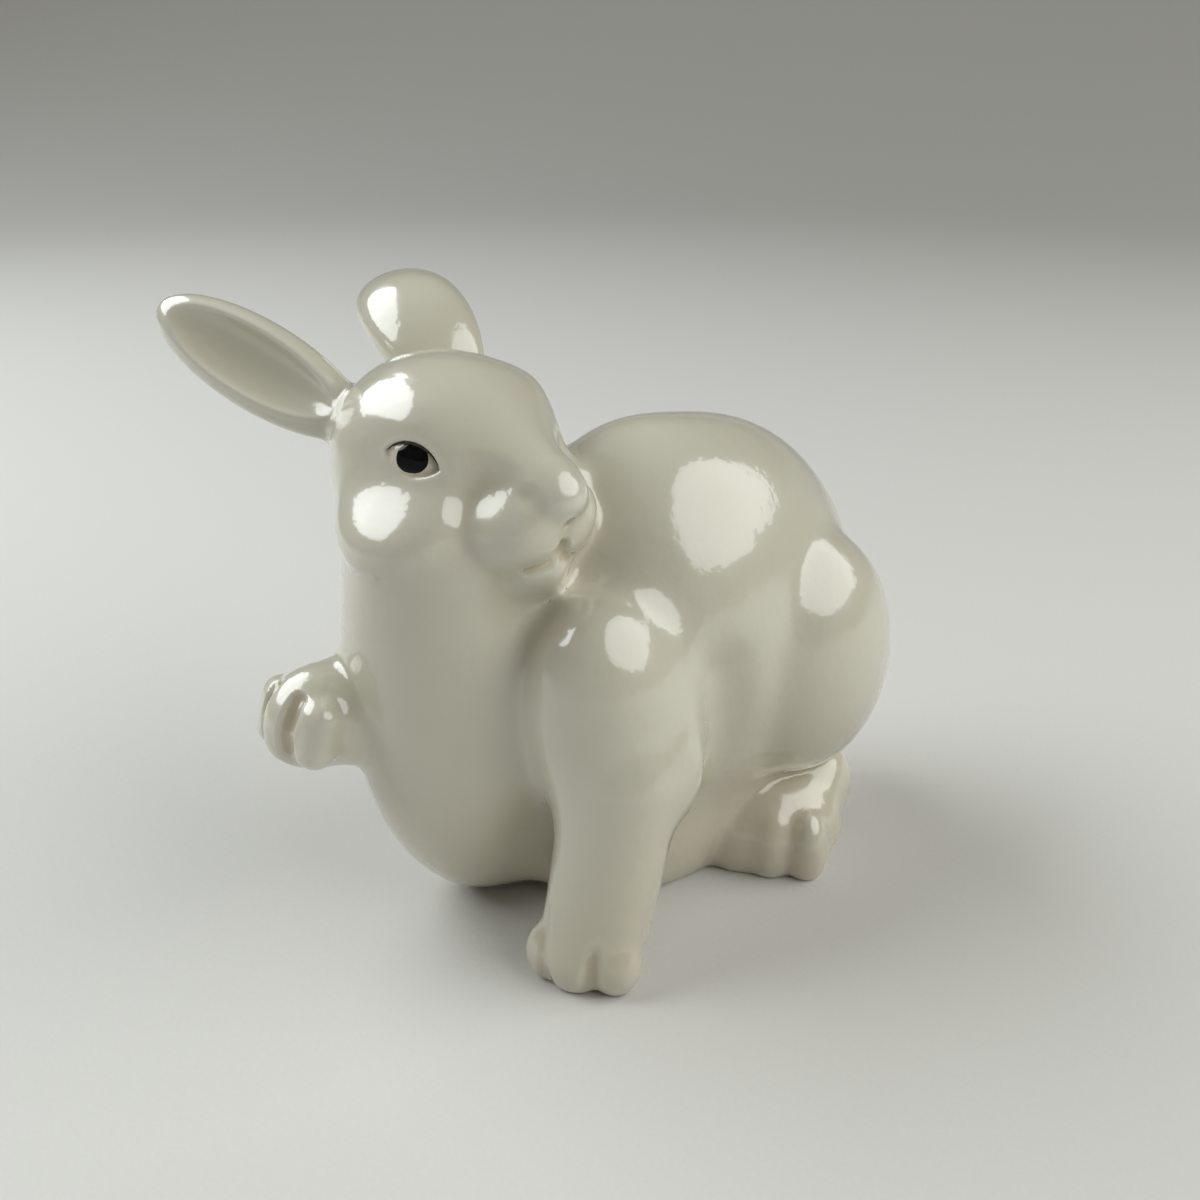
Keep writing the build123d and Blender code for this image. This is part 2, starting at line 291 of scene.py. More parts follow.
@dataclass
class Casting:
    """One casting of the figure: lumps and grooves in its own axes, and the node that it stands for.

    The carrier is the casting that it is stuck to, and seat is how deep its root goes into the carrier.
    """

    node: Node
    carrier: "Casting | None" = None
    step: float = 0.8
    soft: float = 4.0
    seat: float = 4.0

    def origin(self) -> Array:
        """Return the point that the casting's lumps are placed from."""
        return self.node.at(0.5, 0.5, 0.5)

    def basis(self) -> Array:
        """Return the casting's axes as the columns of a matrix."""
        return np.eye(3)

    def lumps(self) -> list[Lump]:
        """Return the lumps that run together into the casting."""
        raise NotImplementedError

    def grooves(self) -> list[Lump]:
        """Return the lumps that are taken out of the casting."""
        return []

    def creases(self) -> list[Crease]:
        """Return the soft grooves that are pressed into the casting."""
        return []

    def local(self, points: Array) -> Array:
        """Return points of the figure in the casting's axes."""
        return (points - self.origin()) @ self.basis()

    def placed(self, points: Array) -> Array:
        """Return points of the casting's axes in the figure's frame."""
        return points @ self.basis().T + self.origin()

    def distance(self, points: Array) -> Array:
        """Return how far points of the figure are from the casting, below zero inside it."""
        return self.formed(self.local(points))

    def formed(self, local: Array) -> Array:
        """Return how far points in the casting's axes are from its lumps with their grooves.

        Args:
            local: points in the casting's axes.

        Returns:
            Distances, below zero inside.
        """
        first, *others = self.lumps()
        form = first.distance(local)
        for lump in others:
            form = joined(form, lump.distance(local), lump.soft)
        for groove in self.grooves():
            form = carved(form, groove.distance(local), groove.soft)
        for crease in self.creases():
            form = crease.pressed(form, local)
        return form


@dataclass
class Torso(Casting):
    """Trunk, breast, neck and haunches, on a flat base with a vent hole."""

    step: float = 0.9
    rump: Egg = Egg((0, 11, 51), (27, 36, 45), 1, (0, 0, 16))
    loin: Egg = Egg((-2, -8, 55), (28, 28, 42), 14)
    breast: Egg = Egg((-16, -36, 45), (23, 29, 45), 12)
    neck: Bar = Bar((-18, -44, 58), (-17, -43, 82), (18, 20), 12)
    belly: Egg = Egg((-2, 0, 12), (19, 36, 20), 12)
    haunch: Egg = Egg((18.5, 20, 46.5), (16, 21.5, 27), 4.5, (0, 0, 4))
    vent: Bar = Bar((0, 15, -6), (0, 15, 6), (3, 3), 1.5)
    flank: Bar = Bar((32.5, -15, 54), (31, -11, 26), (8.5, 9), 8)
    far_flank: Bar = Bar((-38, -13, 56), (-35, -11, 26), (9, 9), 14)

    def origin(self) -> Array:
        """Return the point that the figure rests on, from the record's mount."""
        return np.array(frame["record"]["mounts"][0]["pos_m"], float) / MM

    def lumps(self) -> list[Lump]:
        """Return the trunk's lumps and both haunches."""
        haunches = [self.haunch, self.haunch.across()]
        return [self.rump, self.loin, self.breast, self.neck, self.belly, *haunches]

    def grooves(self) -> list[Lump]:
        """Return the vent hole in the base and the hollows before both haunches."""
        return [self.vent, self.flank, self.far_flank]


@dataclass
class Eye:
    """One eye: an almond opening in the head, its eyeball, and the enamel of the pupil and the lid line."""

    side: Side
    head: "Head"
    pupil_node: Node
    lid_node: Node
    gaze: Triple = (0.445, 0.837, 0.317)
    slant: float = 12.0
    half_length: float = 5.3
    upper_rise: float = 3.0
    lower_drop: float = 2.8
    ball_radius: float = 9.5
    ball_stand: float = -0.1
    rim_soft: float = 1.0
    pupil_radius: float = 3.0
    enamel: float = 0.14
    line_half_width: float = 0.48
    line_half_height: float = 0.20

    def __post_init__(self) -> None:
        """Find the eye's axes and the point where its gaze leaves the head, in the head's axes."""
        x, y, z = self.gaze
        self.out = unit((x, self.side.value * y, z))
        level = unit(np.cross(self.out, (0, 0, self.side.value)))
        up = np.cross(level, self.out) * self.side.value
        lean = math.radians(self.slant)
        self.along = level * math.cos(lean) - up * math.sin(lean)
        self.up = up * math.cos(lean) + level * math.sin(lean)
        middle = self.head.local(self.pupil_node.at(0.5, 0.5, 0.5)[None])[0]
        self.spot = self.on_skin(middle[None])[0]
        self.ball = self.spot + self.out * (self.ball_stand - self.ball_radius)

    def on_skin(self, points: Array) -> Array:
        """Return points moved along the gaze onto the head's closed skin.

        Args:
            points: points in the head's axes.

        Returns:
            The same points on the skin.
        """
        points = points.copy()
        for _ in range(12):
            points -= self.head.skin(points)[:, None] * self.out
        return points

    def flat(self, points: Array) -> tuple[Array, Array, Array]:
        """Return points of the head as lengths along the eye, up the lid and out along the gaze."""
        offset = points - self.spot
        return offset @ self.along, offset @ self.up, offset @ self.out

    def opened(self, form: Array, points: Array) -> Array:
        """Return the head's form with this eye's opening and eyeball in it.

        Args:
            form: distances to the head.
            points: points in the head's axes.

        Returns:
            Distances to the head with its eye.
        """
        along, up, out = self.flat(points)
        opening = -np.inf
        for rise, sign in ((self.upper_rise, 1), (self.lower_drop, -1)):
            radius = (self.half_length**2 + rise**2) / (2 * rise)
            edge = np.hypot(along, up - sign * (rise - radius)) - radius
            opening = np.maximum(opening, edge)
        opening = np.maximum(opening, np.abs(out) - self.ball_radius)
        ball = np.sqrt(((points - self.ball) ** 2).sum(-1)) - self.ball_radius
        return joined(carved(form, opening, self.rim_soft), ball, 0.3)


@dataclass
class Head(Casting):
    """Skull, cheeks, muzzle, nose and chin. Its X axis points to the nose and its Y axis to its left.

    eye_line is where the line between the pupils passes through the head's axes.
    """

    step: float = 0.5
    soft: float = 9.0
    yaw: float = 4.0
    pitch: float = 3.0
    eye_line: Triple = (5.6, 0.0, 8.6)
    skull: Egg = Egg((-5, 0, 3), (22, 20.5, 18.5))
    brow: Egg = Egg((1.2, 8.5, 9.8), (7.6, 7, 7.4), 6.5)
    bridge: Bar = Bar((0, 0, 3), (19.5, 0, 3.6), (14.5, 6.8), 8)
    cheek: Egg = Egg((1.9, 17.8, -3.0), (11.5, 10.5, 6.2), 6, (0, 0, -42))
    far_cheek: Egg = Egg((1.9, 15.6, -3.0), (11.5, 10.5, 6.2), 6, (0, 0, -42))
    jowl: Bar = Bar((2, 9, -10), (-2.5, 5, -34), (15.5, 15), 9)
    pad: Egg = Egg((16.2, 3.7, -2.6), (10.4, 9.6, 9.4), 2.5)
    pad_soft: float = 3.0
    nose: Egg = Egg((23.5, 0, 3.2), (5.2, 5.4, 4.4), 5)
    chin: Egg = Egg((17.5, 0, -11), (6.6, 6, 5.2), 4)
    nostril: Crease = Crease(((22.8, 5.4, 3.8), (23.8, 4.6, 3.0)), 0.55, 3.4)
    wing: Crease = Crease(((23.6, 4.6, 3.0), (25.4, 1.6, 0.6), (25.8, 0.0, -0.4)), 0.3, 2.0)
    cleft: Crease = Crease(((25.8, 0, -0.4), (24.6, 0, -6.0)), 0.4, 2.4)
    mouth: Crease = Crease(((24.6, 0, -6.0), (24.0, 2.0, -8.8), (22.6, 5.0, -9.8)), 0.6, 2.2)
    brow_ridge: Crease = Crease(((-9, 13.4, 14.8), (2, 14.2, 15.2)), -0.4, 6)
    cheek_flat: Crease = Crease(((0.6, 21.6, 2.6), (3.2, 21.6, 2.6)), 1.7, 14)
    pad_flat: Crease = Crease(((16.2, 10.6, 4.0), (17.2, 10.6, 4.0)), 1.3, 8)

    def __post_init__(self) -> None:
        """Place the head between the CAD pupils and open both eyes in it."""
        pupils = {side: Node.read(f"{side.name.lower()}_pupil") for side in Side}
        middle = sum(node.at(0.5, 0.5, 0.5) for node in pupils.values()) / len(pupils)
        self._basis = turned(self.yaw, self.pitch, 0)
        self._origin = middle - self._basis @ np.array(self.eye_line)
        self.eyes = [
            Eye(side, self, node, Node.read(f"{side.name.lower()}_lid_line"))
            for side, node in pupils.items()
        ]

    def origin(self) -> Array:
        """Return the middle of the head."""
        return self._origin

    def basis(self) -> Array:
        """Return the head's forward, left and up axes."""
        return self._basis

    def lumps(self) -> list[Lump]:
        """Return the head's lumps."""
        pads = Cluster(tuple(pair(self.pad)), self.pad_soft)
        cheeks = [*pair(self.brow), self.cheek.mirrored(), self.far_cheek]
        return [self.skull, self.bridge, *pair(self.jowl), *cheeks, pads, self.nose, self.chin]

    def creases(self) -> list[Crease]:
        """Return the nostrils, the wings of the nose, the cleft of the lip, the mouth, the brows and the flats of the cheeks."""
        flats = [*pair(self.brow_ridge), *pair(self.cheek_flat), *pair(self.pad_flat)]
        return [*pair(self.nostril), *pair(self.wing), self.cleft, *pair(self.mouth), *flats]

    def skin(self, local: Array) -> Array:
        """Return the distance to the head before its eyes are opened."""
        return super().formed(local)

    def formed(self, local: Array) -> Array:
        """Return the distance to the head with both eyes."""
        form = self.skin(local)
        for eye in self.eyes:
            form = eye.opened(form, local)
        return form


@dataclass
class Ear(Casting):
    """A leaf-shaped ear. Its X axis runs from root to tip and its Z axis points out of the hollow."""

    step: float = 0.55
    soft: float = 4.5
    root: Triple = (0.92, 0.87, 0.15)
    tip: Triple = (0.01, 0.09, 0.905)
    faces: Triple = (0.75, -0.60, 0.30)
    half_width: float = 8.5
    half_thick: float = 6.5
    hollow_depth: float = 5.2
    bow: float = 0.0

    def __post_init__(self) -> None:
        """Work out the ear's axes from the two ends in its node's box."""
        ends = [self.node.at(*self.root), self.node.at(*self.tip)]
        self.length = float(np.linalg.norm(ends[1] - ends[0]))
        point = unit(ends[1] - ends[0])
        out = np.array(self.faces)
        out = unit(out - (out @ point) * point)
        self._origin = (ends[0] + ends[1]) / 2
        self._basis = np.stack([point, np.cross(point, out), out], 1)

    def origin(self) -> Array:
        """Return the middle of the ear."""
        return self._origin

    def basis(self) -> Array:
        """Return the ear's long, wide and outward axes."""
        return self._basis

    def local(self, points: Array) -> Array:
        """Return points in the ear's axes, with its bow along its length taken out."""
        straight = super().local(points)
        straight[..., 2] += self.bow * (1 - (2 * straight[..., 0] / self.length) ** 2)
        return straight

    def lumps(self) -> list[Lump]:
        """Return the leaf."""
        return [Egg((-0.04 * self.length, 0, 0), (0.54 * self.length, self.half_width, self.half_thick))]

    def grooves(self) -> list[Lump]:
        """Return the hollow of the ear."""
        radii = (0.47 * self.length, 0.72 * self.half_width, self.hollow_depth)
        return [Egg((0, 0, 0.95 * self.half_thick), radii, 1.5)]


@dataclass
class StandingForeleg(Casting):
    """The left foreleg, from the shoulder down to the forefoot and its toes."""

    step: float = 0.7
    soft: float = 12.0
    shoulder: Egg = Egg((-19.7, 21.5, 48), (14, 16, 26), 1, (0, 0, 14))
    shank: Bar = Bar((-14.5, 18.7, 38), (-12.7, 11.5, 9), (11.8, 9.3), 8)
    elbow: Egg = Egg((-11.7, 26.5, 40), (8, 7, 12), 6)
    instep: Bar = Bar((-14.6, 13.6, 18), (-15.0, 6.8, 6), (8.4, 6.6), 6)
    toe_turn: float = -70.0
    toe_ring: Triple = (-13.6, 10.1, 5)
    toe_radii: Triple = (5.2, 5.6, 5.0)
    toe_places: Triple = (-6.2, -0.4, 6.6)
    toe_reaches: Triple = (3.6, 4.4, 2.6)
    groove_places: tuple[float, float] = (-5.0, 4.2)
    groove_depths: tuple[float, float] = (0.5, 0.7)

    def origin(self) -> Array:
        """Return the outer front corner of the leg's box on the ground."""
        return self.node.at(1.0, 0.0, 0.0)

    def on_foot(self, reach: float, aside: float, height: float) -> Triple:
        """Return a place on the foot, from the middle of its toes."""
        spot = np.array(self.toe_ring) + turned(self.toe_turn, 0, 0) @ np.array((reach, aside, height))
        return tuple(spot)

    def lumps(self) -> list[Lump]:
        """Return the shoulder, the shank and three toes."""
        toes = []
        for place, reach, radius in zip(self.toe_places, self.toe_reaches, self.toe_radii):
            toes.append(Egg(self.on_foot(reach, place, 0), (radius, radius, radius + 1), 2.5))
        return [self.shoulder, self.shank, self.elbow, self.instep, *toes]

    def creases(self) -> list[Crease]:
        """Return the two grooves between the toes."""
        found = []
        for aside, depth in zip(self.groove_places, self.groove_depths):
            foot, knuckle = self.on_foot(9, aside, -4), self.on_foot(7.5, aside, 3)
            found.append(Crease((foot, knuckle, self.on_foot(4, aside, 10)), depth, 2.4))
        return found


@dataclass
class RaisedForeleg(Casting):
    """The right foreleg, held out in front with its paw."""

    step: float = 0.6
    soft: float = 5.0
    arm: Bar = Bar((2.5, 44.5, 0), (-0.5, 18.5, 0), (12, 10))
    wrist: Bar = Bar((-0.5, 18.5, 0), (-0.5, 13.5, 1.5), (10, 8.8), 5)
    hand: Egg = Egg((-2.3, 10, 0.3), (9, 9.7, 9.6), 5)
    toe: Bar = Bar((-1.9, 6.2, 3.6), (-1.9, 4.6, -2.0), (4.1, 4.0), 2.0)
    toe_spacing: float = 6.6
    groove_spacing: float = 7.6
    groove_depth: float = 1.4

    def origin(self) -> Array:
        """Return the front of the leg's box, in line with its middle."""
        return self.node.at(0.5, 0.0, 0.5)

    def lumps(self) -> list[Lump]:
        """Return the arm, the wrist and three toes."""
        (ax, ay, az), (bx, by, bz) = self.toe.start, self.toe.end
        toes = []
        for place in (-1, 0, 1):
            aside, back = place * self.toe_spacing, 1.5 * abs(place)
            start, end = (ax + aside, ay + back, az), (bx + aside, by + back, bz)
            toes.append(Bar(start, end, self.toe.radii, self.toe.soft))
        return [self.arm, self.wrist, self.hand, *toes]

    def creases(self) -> list[Crease]:
        """Return the two grooves between the toes."""
        middle, half = self.toe.start[0], self.groove_spacing / 2
        return [
            Crease(((x, 5.0, 7.5), (x, 1.5, 2.0), (x, 1.5, -4.0), (x, 4.5, -8.5)), self.groove_depth, 2.2)
            for x in (middle - half, middle + half)
        ]


@dataclass
class HindFoot(Casting):
    """One hind foot, turned outwards. Its X axis points to its toes."""

    step: float = 0.7
    soft: float = 3.0
    side: Side = Side.LEFT
    turn: float = -51.5
    inset: tuple[float, float] = (14.8, 26.2)
    instep: Egg = Egg((-2, -4.2, 7), (12.5, 18.2, 13.5))
    heel: Egg = Egg((-12, 7, 12), (10, 9, 11), 6)
    toe: Egg = Egg((6.2, -0.5, 6), (5.2, 4.6, 8.5), 3.5)
    toe_spacing: float = 7.4
    toe_fall: float = 2.2

    def origin(self) -> Array:
        """Return the middle of the foot on the ground, from the outer and rear sides of its box."""
        outer = self.node.at((1 + self.side.value) / 2, 1.0, 0.0)
        return outer - np.array((self.side.value * self.inset[0], self.inset[1], 0.0))

    def basis(self) -> Array:
        """Return the foot's forward, sideways and up axes."""
        x, y = math.cos(math.radians(self.turn)), math.sin(math.radians(self.turn))
        return np.array([[self.side.value * x, -self.side.value * y, 0], [y, x, 0], [0, 0, 1]])

    def lumps(self) -> list[Lump]:
        """Return the instep, the heel and three toes."""
        x, y, z = self.toe.centre
        toes = [
            Egg((x - max(0, -place) * self.toe_fall, y + place * self.toe_spacing, z), self.toe.radii, self.toe.soft)
            for place in (-1, 0, 1)
        ]
        return [self.instep, self.heel, *toes]


@dataclass
class Tail(Casting):
    """A short round tail."""

    step: float = 0.7
    scut: Egg = Egg((0, 0, 0), (9, 8.35, 10.8))

    def lumps(self) -> list[Lump]:
        """Return the tail's one lump."""
        return [self.scut]


@dataclass
class Rabbit:
    """The whole figure: castings that run into each other, and the share of the skin that each one keeps."""

    castings: list[Casting]
    base_soft: float = 1.2
    margin: float = 14.0

    def fields(self, points: Array, casting: Casting) -> tuple[Array, Array]:
        """Return distances to the whole figure and to one casting's share of it.

        Args:
            points: points in the figure's frame.
            casting: the casting whose share is asked for.

        Returns:
            Distances to the figure's skin, and to the joint faces around the casting.
        """
        near = [other for other in self.castings if other.node.meets(casting.node, self.margin)]
        distances = {id(other): other.distance(points) for other in near}
        whole = distances[id(near[0])]
        for other in near[1:]:
            whole = joined(whole, distances[id(other)], other.soft)
        whole = carved(whole, points[..., 2], self.base_soft)
        share = np.full(len(points), -np.inf)
        for other in near:
            if other.carrier is None or id(other.carrier) not in distances:
                continue
            own, under = distances[id(other)], distances[id(other.carrier)]
            claim = np.maximum(own - under, -under - other.seat)
            if other is casting:
                share = np.maximum(share, claim)
            elif other.carrier is casting:
                share = np.maximum(share, -claim)
        return whole, share


@dataclass
class Skin:
    """Lays a closed mesh of small quads over one casting's share of the figure."""

    rabbit: Rabbit
    casting: Casting
    grow: float = 9.0
    coarse: int = 4
    band: float = 1.8
    chunk: int = 40000
    rounds: int = 4
    probe: float = 0.06
    hollow_probe: float = 1.1

    def __post_init__(self) -> None:
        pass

    def measure(self, points: Array) -> tuple[Array, Array]:
        """Return both distance fields at many points, worked out a chunk at a time."""
        parts = [
            self.rabbit.fields(points[start:start + self.chunk], self.casting)
            for start in range(0, len(points), self.chunk)
        ]
        return np.concatenate([part[0] for part in parts]), np.concatenate([part[1] for part in parts])

    def lattice(self) -> tuple[Array, Array, Array]:
        """Sample both fields on a fine lattice, close to the surface only.

        Returns:
            The lattice's low corner, and both fields on it.
        """
        step = self.casting.step
        wide = step * self.coarse
        low, high = self.casting.node.low - self.grow, self.casting.node.high + self.grow
        low[2] = max(low[2], -2.5 * step)
        cells = np.ceil((high - low) / wide).astype(int)
        places = np.stack(np.meshgrid(*[np.arange(n + 1) for n in cells], indexing="ij"), -1)
        whole, share = self.measure(low + wide * places.reshape(-1, 3))
        rough = np.maximum(whole, share).reshape(cells + 1)
        near = np.abs(rough) < self.band * wide
        busy = np.zeros(cells, bool)
        for corner in np.ndindex(2, 2, 2):
            busy |= near[tuple(slice(c, c + n) for c, n in zip(corner, cells))]
        fine = np.pad(self.spread(busy), (0, 1))
        for axis in range(3):
            fine |= np.roll(fine, 1, axis)
        values = np.pad(self.spread(rough[:-1, :-1, :-1]), (0, 1), mode="edge")
        fields = np.stack([values, values])
        spots = np.argwhere(fine)
        fields[:, fine] = self.measure(low + step * spots)
        return low, fields[0], fields[1]

    def spread(self, values: Array) -> Array:
        """Return coarse values repeated over the fine lattice."""
        for axis in range(3):
            values = np.repeat(values, self.coarse, axis)
        return values

    def crossings(self, whole: Array, share: Array) -> tuple[Array, Array, Array, Array]:
        """Find where lattice edges cross the surface.

        Args:
            whole: the figure's field on the lattice.
            share: the joint faces' field on the lattice.

        Returns:
            For each crossing its point in lattice units, whether it is on a joint face, the four cells
            around it in order, and the lattice's shape.
        """
        inside = np.maximum(whole, share) < 0
        shape = np.array(inside.shape)
        points, joints, rings = [], [], []
        for axis in range(3):
            low = tuple(slice(0, -1) if a == axis else slice(1, -1) for a in range(3))
            high = tuple(slice(1, None) if a == axis else slice(1, -1) for a in range(3))
            start = np.argwhere(inside[low] != inside[high]) + [0 if a == axis else 1 for a in range(3)]
            ahead = np.eye(3, dtype=int)[axis]
            outward = inside[tuple(start.T)]
            inner = np.where(outward[:, None], start, start + ahead)
            outer = np.where(outward[:, None], start + ahead, start)
            ways = []
            for values in (whole, share):
                a, b = values[tuple(inner.T)], values[tuple(outer.T)]
                ways.append(np.where(b >= 0, a / np.where(b >= 0, a - b, 1.0), 2.0))
            way = np.minimum(*ways)
            points.append(inner + way[:, None] * (outer - inner))
            joints.append(ways[1] < ways[0])
            b, c = np.eye(3, dtype=int)[[(axis + 1) % 3, (axis + 2) % 3]]
            ring = np.stack([start - b - c, start - c, start, start - b], 1)
            ring[~outward] = ring[~outward][:, ::-1]
            rings.append(ring)
        return np.concatenate(points), np.concatenate(joints), np.concatenate(rings), shape

    def slopes(self, points: Array, probe: float) -> tuple[Array, Array]:
        """Return the gradients of both fields by central differences."""
        ahead = [self.measure(points + probe * way) for way in np.eye(3)]
        behind = [self.measure(points - probe * way) for way in np.eye(3)]
        pairs = zip(ahead, behind)
        both = [((a[0] - b[0]) / (2 * probe), (a[1] - b[1]) / (2 * probe)) for a, b in pairs]
        return np.stack([pair[0] for pair in both], 1), np.stack([pair[1] for pair in both], 1)

    def settled(self, points: Array, kinds: Sequence[Array]) -> Array:
        """Move points onto the fields that they belong to.

        Args:
            points: points near the surface.
            kinds: for each field, which points lie on it.

        Returns:
            The moved points.
        """
        longest = 0.7 * self.casting.step
        slopes = self.slopes(points, self.probe)
        for turn in range(self.rounds):
            if turn == self.rounds // 2:
                slopes = self.slopes(points, self.probe)
            for which, kind in enumerate(kinds):
                value = self.measure(points[kind])[which]
                slope = slopes[which][kind]
                push = (value / np.maximum((slope * slope).sum(1), 1e-3))[:, None] * slope
                size = np.linalg.norm(push, axis=1)
                points[kind] -= push * np.minimum(1.0, longest / np.maximum(size, 1e-9))[:, None]
        return points

    def build(self) -> bpy.types.Object:
        """Return the casting's mesh as an object, with its skin's true normals and its hollows marked."""
        low, whole, share = self.lattice()
        points, joints, rings, shape = self.crossings(whole, share)
        cells, corners = np.unique(np.ravel_multi_index(tuple(rings.reshape(-1, 3).T), shape), return_inverse=True)
        corners = corners.reshape(-1)
        faces = corners.reshape(-1, 4)
        count = np.bincount(corners)
        spots = np.repeat(points, 4, axis=0)
        places = np.stack([np.bincount(corners, spots[:, axis]) / count for axis in range(3)], 1)
        places = low + self.casting.step * places
        on_joint = np.bincount(corners, np.repeat(joints, 4)) > 0
        on_skin = np.bincount(corners, np.repeat(~joints, 4)) > 0
        places = self.settled(places, (on_skin, on_joint))
        slopes = self.slopes(places, self.probe)
        normals = np.where(joints[:, None, None], slopes[1][faces], slopes[0][faces]).reshape(-1, 3)
        normals /= np.maximum(np.linalg.norm(normals, axis=1, keepdims=True), 1e-9)
        item = mesh_object(self.casting.node.name, places, faces, normals)
        hollow = item.data.attributes.new("hollow", "FLOAT", "POINT")
        hollow.data.foreach_set("value", self.bend(places).astype(np.float32))
        return item

    def bend(self, places: Array) -> Array:
        """Return how strongly the skin bends at each point, above zero in hollows, per millimetre."""
        total = -6 * self.measure(places)[0]
        for way in np.eye(3) * self.hollow_probe:
            total += self.measure(places + way)[0] + self.measure(places - way)[0]
        return -total / self.hollow_probe**2


def mesh_object(name: str, points: Array, faces: Any, normals: Array | None = None) -> bpy.types.Object:
    """Make a smooth mesh object from points in millimetres.

    Args:
        name: the piece's name.
        points: its points.
        faces: its faces, as rows of point numbers.
        normals: one normal for each corner of each face, or none.

    Returns:
        The new object, linked to the scene.
    """
    mesh = bpy.data.meshes.new(name)
    mesh.from_pydata((points * MM).tolist(), [], [list(map(int, face)) for face in faces])
    mesh.polygons.foreach_set("use_smooth", np.ones(len(mesh.polygons), bool))
    if normals is not None:
        mesh.normals_split_custom_set(normals.tolist())
    item = bpy.data.objects.new(f"{name}_piece", mesh)
    bpy.context.scene.collection.objects.link(item)
    return item


@dataclass
class EyeEnamel:
    """The enamel on one eye: the pupil and the line along the upper lid."""

    eye: Eye
    rings: int = 14
    spokes: int = 64
    line_steps: int = 60
    line_sides: int = 12

    def pupil(self) -> bpy.types.Object:
        """Return the pupil, a thin round drop of enamel on the eyeball."""
        eye = self.eye
        points, faces = [], []
        angles = np.linspace(0, 2 * np.pi, self.spokes, endpoint=False)
        shares = np.sin(np.linspace(0, np.pi / 2, self.rings + 1))[1:]
        profile = [(share, eye.enamel * math.sqrt(max(0.0, 1 - share**6))) for share in shares]
        profile += [(share, -2 * eye.enamel) for share in shares[::-3]]
        for share, lift in profile:
            across, up = eye.pupil_radius * share * np.cos(angles), eye.pupil_radius * share * np.sin(angles)
            points.append(self.on_ball(across, up, lift))
        zero = np.zeros(1)
        points += [self.on_ball(zero, zero, eye.enamel), self.on_ball(zero, zero, -2 * eye.enamel)]
        top, bottom = len(profile) * self.spokes, len(profile) * self.spokes + 1
        last = (len(profile) - 1) * self.spokes
        for spoke in range(self.spokes):
            after = (spoke + 1) % self.spokes
            faces.append((top, spoke, after))
            for ring in range(len(profile) - 1):
                a, b = ring * self.spokes, (ring + 1) * self.spokes
                faces.append((a + spoke, b + spoke, b + after, a + after))
            faces.append((bottom, last + after, last + spoke))
        return self.placed(eye.pupil_node.name, np.concatenate(points), faces)

    def on_ball(self, along: Array, up: Array, lift: float) -> Array:
        """Return points on the eyeball, lifted off it by a small height."""
        eye = self.eye
        radius = eye.ball_radius + lift
        out = np.sqrt(radius**2 - along**2 - up**2)
        return eye.ball + along[:, None] * eye.along + up[:, None] * eye.up + out[:, None] * eye.out

    def lid_line(self) -> bpy.types.Object:
        """Return the lid line, a stroke that swells over the pupil and thins to both corners."""
        eye = self.eye
        radius = (eye.half_length**2 + eye.upper_rise**2) / (2 * eye.upper_rise)
        reach = math.asin(min(1.0, eye.half_length / radius))
        if eye.upper_rise > radius:
            reach = math.pi - reach
        angles = np.linspace(-reach, reach, self.line_steps)
        along, up = radius * np.sin(angles), radius * np.cos(angles) + eye.upper_rise - radius
        path = eye.spot + along[:, None] * eye.along + up[:, None] * eye.up
        for _ in range(12):
            path -= eye.head.formed(path)[:, None] * 0.7 * eye.out
        way = unit_rows(np.gradient(path, axis=0))
        across = unit_rows(np.cross(eye.out, way))
        out = np.cross(way, across)
        swell = np.sin(np.linspace(0, np.pi, self.line_steps)) ** 0.6
        points, faces = [], []
        for side in range(self.line_sides):
            angle = 2 * np.pi * side / self.line_sides
            wide = (eye.line_half_width * swell * math.cos(angle))[:, None] * across
            high = (eye.line_half_height * np.sqrt(swell) * math.sin(angle))[:, None] * out
            points.append(path + wide + high)
        points = np.stack(points, 1).reshape(-1, 3)
        for step in range(self.line_steps - 1):
            for side in range(self.line_sides):
                a, b = step * self.line_sides, (step + 1) * self.line_sides
                after = (side + 1) % self.line_sides
                faces.append((a + side, b + side, b + after, a + after))
        last = (self.line_steps - 1) * self.line_sides
        faces.append(tuple(range(self.line_sides)))
        faces.append(tuple(range(last + self.line_sides - 1, last - 1, -1)))
        return self.placed(eye.lid_node.name, points, faces)

    def placed(self, name: str, points: Array, faces: Sequence[tuple[int, ...]]) -> bpy.types.Object:
        """Return a piece of enamel as an object, with its faces turned outwards."""
        head = self.eye.head
        if self.eye.side is Side.LEFT:
            faces = [face[::-1] for face in faces]
        return mesh_object(name, head.placed(points), faces)


def unit_rows(vectors: Array) -> Array:
    """Return rows of vectors, each of length one."""
    return vectors / np.maximum(np.linalg.norm(vectors, axis=1, keepdims=True), 1e-9)


